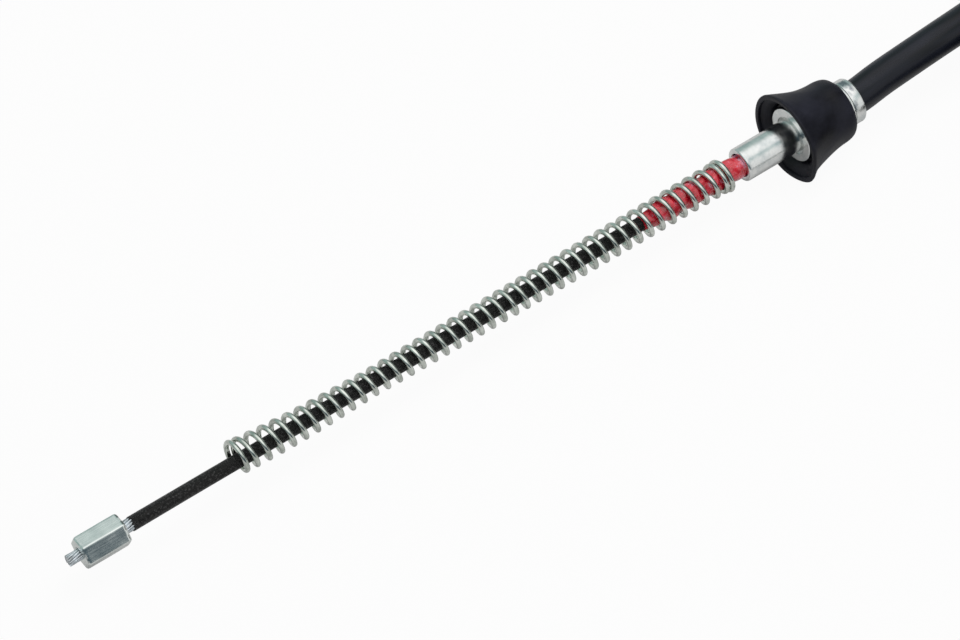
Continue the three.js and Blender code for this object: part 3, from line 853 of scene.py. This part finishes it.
# Turns an outline of [radius, distance] in mm about the far end's axis, which points to -X.
def turnedFar(outline, segments):
    outline = np.asarray(outline, float) * mm
    turn = 2 * np.pi * np.arange(segments) / segments
    radius = outline[:, 0, None]
    x = np.broadcast_to(-outline[:, 1, None], (len(outline), segments))
    return farPlace + np.stack([x, -radius * np.cos(turn), radius * np.sin(turn)], -1)


# Turned outlines of [radius, distance from the sleeve's back], and a strand like the near one's.
def makeFarEnd(f):
    edge, tubeEnd = f["edge"], f["sleeveLength"] + f["tubeLength"]
    sleeve = [
        *arc(f["sleeve"] - edge, edge, edge, -90, 0, 5),
        *arc(f["sleeve"] - edge, f["sleeveLength"] - edge, edge, 0, 90, 5),
        (f["tube"], f["sleeveLength"]),
        *arc(f["tube"] - edge, tubeEnd - edge, edge, 0, 90, 5),
        (f["bore"] + edge, tubeEnd),
        (f["bore"], tubeEnd - edge),
        (f["bore"], f["socketDepth"]),
        (f["socket"], f["socketDepth"]),
        (f["socket"], 0),
    ]
    nippleEnd = f["nippleAt"] + f["nippleLength"]
    nipple = [
        (f["nippleBore"], f["nippleAt"] + 0.2),
        (f["nippleBore"] + 0.25, f["nippleAt"]),
        *arc(f["nipple"] - edge, f["nippleAt"] + edge, edge, -90, 0, 5),
        *arc(f["nipple"] - edge, nippleEnd - edge, edge, 0, 90, 5),
        (f["nippleBore"] + 0.25, nippleEnd),
        (f["nippleBore"], nippleEnd - 0.2),
    ]
    coat = [
        (core["coatBore"], f["coreFrom"]),
        (core["coat"], f["coreFrom"]),
        (core["coat"], f["coatEnd"] - 0.1),
        (core["coat"] - 0.1, f["coatEnd"]),
        (core["coatBore"], f["coatEnd"]),
    ]
    pieces = [
        makePiece("farFerrule", [closedTube(turnedFar(sleeve, f["segments"]))], zinc, "casing",
                  ("far_ferrule",)),
        makePiece("farCoating", [closedTube(turnedFar(coat, 64))], coatBlack, "far_core",
                  ("far_core_coating",)),
        makePiece("farNipple", [closedTube(turnedFar(nipple, f["segments"]))], stopSteel, "far_core",
                  ("far_end_nipple",)),
        makeStrand("farStrand", farPlace, (1, 0, 0), (-nippleEnd - f["nippleStub"], -nippleEnd + 0.4),
                   (-f["nippleAt"] - 0.5, -f["coatEnd"] + 0.8), (-nippleEnd + 0.2, -f["coreFrom"]), farStrand,
                   "far_core", ("far_core_strand",)),
    ]
    return pieces


farStrand = {**strand, "neckRadius": strand["radius"]}
farPieces = makeFarEnd(farEnd)
print("far end made")


# Floor, backdrop and light

studio = {
    "floorWhite": 0.6,       # the floor's own colour
    "cameraGlow": 0.95,      # share of plain white in what the camera sees of the floor
    "metalGlow": 0.1,        # and in what reflections see of it
    "skyLevel": 0.5,         # even light from all round
    "shine": 1.2,            # brightest part of what reflections see
    "lampTowards": (0.344, 0.037, 0.938),
    "lampDistance": 1.25,
    "lampSize": (1.1, 0.62),
    "lampPower": 9.0,
}


# The floor is matt paper, mixed with plain white for the camera and less so for reflections.
def makeFloor(s):
    points = np.array([(-6, -6, 0), (6, -6, 0), (6, 6, 0), (-6, 6, 0)], float)
    mesh = bpy.data.meshes.new("floor")
    mesh.from_pydata(points.tolist(), [], [[0, 1, 2, 3]])
    floor = bpy.data.objects.new("floor", mesh)
    bpy.context.scene.collection.objects.link(floor)
    material = bpy.data.materials.new("floorPaper")
    material.use_nodes = True
    tree = material.node_tree
    tree.nodes.clear()
    paper = addNode(tree, "ShaderNodeBsdfDiffuse", {"Color": (s["floorWhite"],) * 3 + (1,)}).outputs[0]
    white = addNode(tree, "ShaderNodeEmission", {"Color": (1, 1, 1, 1), "Strength": 1.0}).outputs[0]
    rays = addNode(tree, "ShaderNodeLightPath").outputs
    toCamera = addNode(tree, "ShaderNodeMath", {0: rays["Is Camera Ray"], 1: s["cameraGlow"]},
                       operation="MULTIPLY").outputs[0]
    toMetal = addNode(tree, "ShaderNodeMath", {0: rays["Is Glossy Ray"], 1: s["metalGlow"]},
                      operation="MULTIPLY").outputs[0]
    share = addNode(tree, "ShaderNodeMath", {0: toCamera, 1: toMetal}, operation="ADD").outputs[0]
    mixed = addNode(tree, "ShaderNodeMixShader", {"Fac": share})
    tree.links.new(paper, mixed.inputs[1])
    tree.links.new(white, mixed.inputs[2])
    output = addNode(tree, "ShaderNodeOutputMaterial")
    tree.links.new(mixed.outputs[0], output.inputs["Surface"])
    mesh.materials.append(material)


# Even light all round. Reflections see a bright sky with a grey-green horizon behind, a dark wall
# low in front on the left and a dark end on the right.
def makeWorld(s):
    world = bpy.data.worlds.new("studio")
    world.use_nodes = True
    bpy.context.scene.world = world
    tree = world.node_tree
    shown = tree.nodes["Background"]
    direction = addNode(tree, "ShaderNodeTexCoord").outputs["Generated"]
    parts = addNode(tree, "ShaderNodeSeparateXYZ", {"Vector": direction}).outputs
    back = ramp(tree, parts["Z"], [(0.0, (0.28, 0.36, 0.355)), (0.58, (0.36, 0.45, 0.44)),
                                   (0.74, (0.68, 0.72, 0.72)), (0.84, 1.0)])
    frontRight = ramp(tree, parts["Z"], [(0.0, 0.75), (0.56, 0.85), (0.70, (0.56, 0.62, 0.62)),
                                         (0.80, (0.44, 0.53, 0.54)), (0.88, 0.93), (1.0, 1.0)])
    frontLeft = ramp(tree, parts["Z"], [(0.0, (0.06, 0.085, 0.10)), (0.42, (0.08, 0.11, 0.13)),
                                        (0.62, (0.5, 0.54, 0.55)), (0.86, 1.0)])
    place = {"Value": parts["X"], "From Min": 0.26, "From Max": 0.40}
    front = mixColours(tree, addNode(tree, "ShaderNodeMapRange", place).outputs[0], frontLeft, frontRight)
    place = {"Value": parts["Y"], "From Min": -0.12, "From Max": 0.12}
    sides = mixColours(tree, addNode(tree, "ShaderNodeMapRange", place).outputs[0], front, back)
    end = ramp(tree, parts["X"], [(0.52, 1.0), (0.68, 0.22), (1.0, 0.12)])
    seen = mixColours(tree, 1.0, mixColours(tree, 1.0, sides, end, "MULTIPLY"), (s["shine"],) * 3, "MULTIPLY")
    rays = addNode(tree, "ShaderNodeLightPath").outputs
    plain = mixColours(tree, rays["Is Camera Ray"], (s["skyLevel"],) * 3, (1.0, 1.0, 1.0))
    tree.links.new(mixColours(tree, rays["Is Glossy Ray"], plain, seen), shown.inputs["Color"])


# The softbox lights matt surfaces; reflections see the world's bright sky in its place.
def makeLamp(s):
    lamp = bpy.data.lights.new("softbox", "AREA")
    lamp.shape = "RECTANGLE"
    lamp.size, lamp.size_y = s["lampSize"]
    lamp.energy = s["lampPower"]
    holder = bpy.data.objects.new("softbox", lamp)
    holder.visible_glossy = False
    bpy.context.scene.collection.objects.link(holder)
    towards = Vector(s["lampTowards"]).normalized()
    across = Vector((1, 0, 0))
    across = (across - towards * across.dot(towards)).normalized()
    axes = Matrix((across, towards.cross(across), towards)).transposed().to_4x4()
    holder.matrix_world = Matrix.Translation(towards * s["lampDistance"]) @ axes


makeFloor(studio)
makeWorld(studio)
makeLamp(studio)
bpy.context.scene.view_settings.view_transform = "Standard"
print("stage set")
